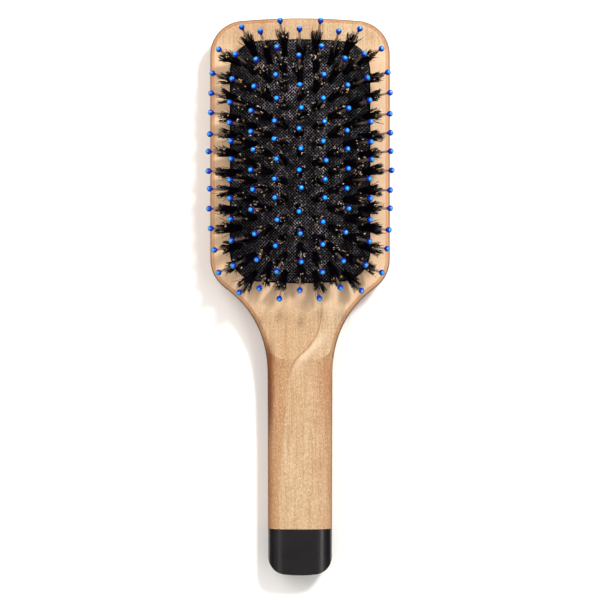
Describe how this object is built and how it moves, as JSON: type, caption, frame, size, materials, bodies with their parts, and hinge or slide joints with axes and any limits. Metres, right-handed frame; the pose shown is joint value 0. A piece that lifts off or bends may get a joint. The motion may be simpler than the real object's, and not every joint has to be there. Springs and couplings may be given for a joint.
{
  "type": "cushion paddle hairbrush",
  "caption": "Wooden paddle hairbrush with an air cushion of ball-tipped nylon pins set in boar bristle tufts and a black cap on the handle.",
  "frame": {"origin": "centre of the brush's length and width, on the surface that its back lies on", "axes": "+Y points to the top of the head and -Y to the handle's end cap, +Z points out of the bristle side, X is the width"},
  "size_m": [0.0764, 0.23, 0.0384],
  "materials": {
    "wood": "satin",
    "cap": "satin",
    "rubber": "matte",
    "fabric": "matte",
    "nylon": "gloss",
    "ball": "gloss",
    "bristle": "satin",
    "ring": "satin"
  },
  "bodies": {
    "brush_body": {"wooden_body": "wood", "end_cap": "cap", "cushion": "rubber", "cushion_cover": "fabric"},
    "inner_field": {"pins_column_2": "nylon", "pins_column_3": "nylon", "pins_column_4": "nylon", "pins_column_5": "nylon", "pins_column_6": "nylon", "pins_column_7": "nylon", "pins_column_8": "nylon", "ball_tips_column_2": "ball", "ball_tips_column_3": "ball", "ball_tips_column_4": "ball", "ball_tips_column_5": "ball", "ball_tips_column_6": "ball", "ball_tips_column_7": "ball", "ball_tips_column_8": "ball", "bristles_column_2": "bristle", "bristles_column_3": "bristle", "bristles_column_4": "bristle", "bristles_column_5": "bristle", "bristles_column_6": "bristle", "bristles_column_7": "bristle", "bristles_column_8": "bristle", "binding_rings_inner": "ring"},
    "rim_field": {"pins_column_1": "nylon", "pins_column_9": "nylon", "pins_top_row": "nylon", "pins_bottom_row": "nylon", "ball_tips_column_1": "ball", "ball_tips_column_9": "ball", "ball_tips_top_row": "ball", "ball_tips_bottom_row": "ball", "bristles_column_1": "bristle", "bristles_column_9": "bristle", "bristles_top_row": "bristle", "bristles_bottom_row": "bristle", "binding_rings_outer": "ring"}
  },
  "joints": [
    {"name": "cushion_press", "type": "slide", "parent": "brush_body", "child": "inner_field", "axis": [0, 0, 1], "range_m": [-0.003, 0], "stiffness_N_per_m": 3300, "deforming": ["cushion", "cushion_cover"]},
    {"name": "rim_press", "type": "slide", "parent": "brush_body", "child": "rim_field", "axis": [0, 0, 1], "range_m": [-0.0012, 0], "stiffness_N_per_m": 1500, "deforming": ["cushion", "cushion_cover"]}
  ],
  "couplings": [
    {"joint": "rim_press", "follows": "cushion_press", "ratio": 0.4}
  ]
}
